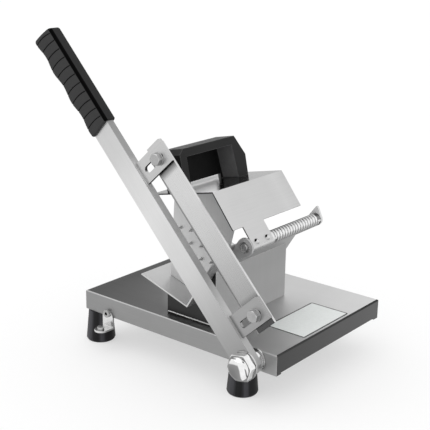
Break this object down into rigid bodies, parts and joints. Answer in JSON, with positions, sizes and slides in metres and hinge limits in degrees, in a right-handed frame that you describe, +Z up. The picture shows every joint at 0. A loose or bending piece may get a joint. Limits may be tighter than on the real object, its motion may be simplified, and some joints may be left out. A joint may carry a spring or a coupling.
{
  "type": "hand-operated frozen meat slicer",
  "caption": "Hand-operated frozen meat slicer: lever arm with a slotted-bracket blade, V trough on a steel tray, and a sprung, swinging presser on a guide rod.",
  "frame": {"origin": "on the table, under the middle of the bounding box", "axes": "+X to the right along the tray's front rim, +Y to the back along the trough and guide rod, +Z up"},
  "size_m": [0.3581, 0.2643, 0.3965],
  "materials": {
    "brushed_steel": "brushed",
    "blade_steel": "satin",
    "chrome": "polished",
    "zinc": "satin",
    "dark_steel": "satin",
    "black_plastic": "matte",
    "black_rubber": "matte",
    "label": "matte"
  },
  "bodies": {
    "base": {"base_tray": "brushed_steel", "back_plate": "dark_steel", "foot_front_left": "black_rubber", "foot_front_right": "black_rubber", "foot_rear_left": "black_rubber", "foot_rear_right": "black_rubber", "foot_screws": "zinc", "foot_washers": "zinc", "foot_nuts": "zinc", "stand": "brushed_steel", "stand_screws": "zinc", "stand_nuts": "zinc", "trough": "brushed_steel", "front_lug": "dark_steel", "rear_lug": "dark_steel", "guide_rod": "chrome", "rod_clips": "zinc", "feed_spring": "chrome", "spring_seat": "zinc", "pivot_stud": "zinc", "cap_nut": "chrome", "pivot_washers": "zinc", "pivot_spacer": "chrome", "lock_nut": "zinc", "stop_bracket": "chrome", "stop_screw": "zinc", "stop_nut": "zinc", "stop_button": "zinc", "label_plate": "label"},
    "arm": {"lever_arm": "brushed_steel", "arm_grip": "black_plastic", "lower_bracket": "brushed_steel", "upper_bracket": "brushed_steel"},
    "blade_set": {"blade": "blade_steel", "blade_bolts": "zinc", "blade_washers": "zinc", "blade_nuts": "zinc"},
    "carriage": {"spring_washer": "zinc"},
    "presser_set": {"hinge_sleeve": "chrome", "sleeve_rivets": "zinc", "presser": "brushed_steel", "push_plate": "blade_steel", "presser_handle": "black_plastic", "handle_screws": "zinc"}
  },
  "joints": [
    {"name": "arm_swing", "type": "hinge", "parent": "base", "child": "arm", "pos_m": [0.1485, -0.093, 0.054], "axis": [0, 1, 0], "range_deg": [-47.5, 50]},
    {"name": "blade_adjust", "type": "slide", "parent": "arm", "child": "blade_set", "axis": [0.7296, 0, 0.6839], "range_m": [-0.014, 0.004]},
    {"name": "presser_slide", "type": "slide", "parent": "base", "child": "carriage", "axis": [0, 1, 0], "range_m": [0, 0.045], "stiffness_N_per_m": 200, "springref_m": -0.04, "deforming": ["feed_spring"]},
    {"name": "presser_lift", "type": "hinge", "parent": "carriage", "child": "presser_set", "pos_m": [0.11522, -0.06, 0.17356], "axis": [0, 1, 0], "range_deg": [0, 105]}
  ]
}
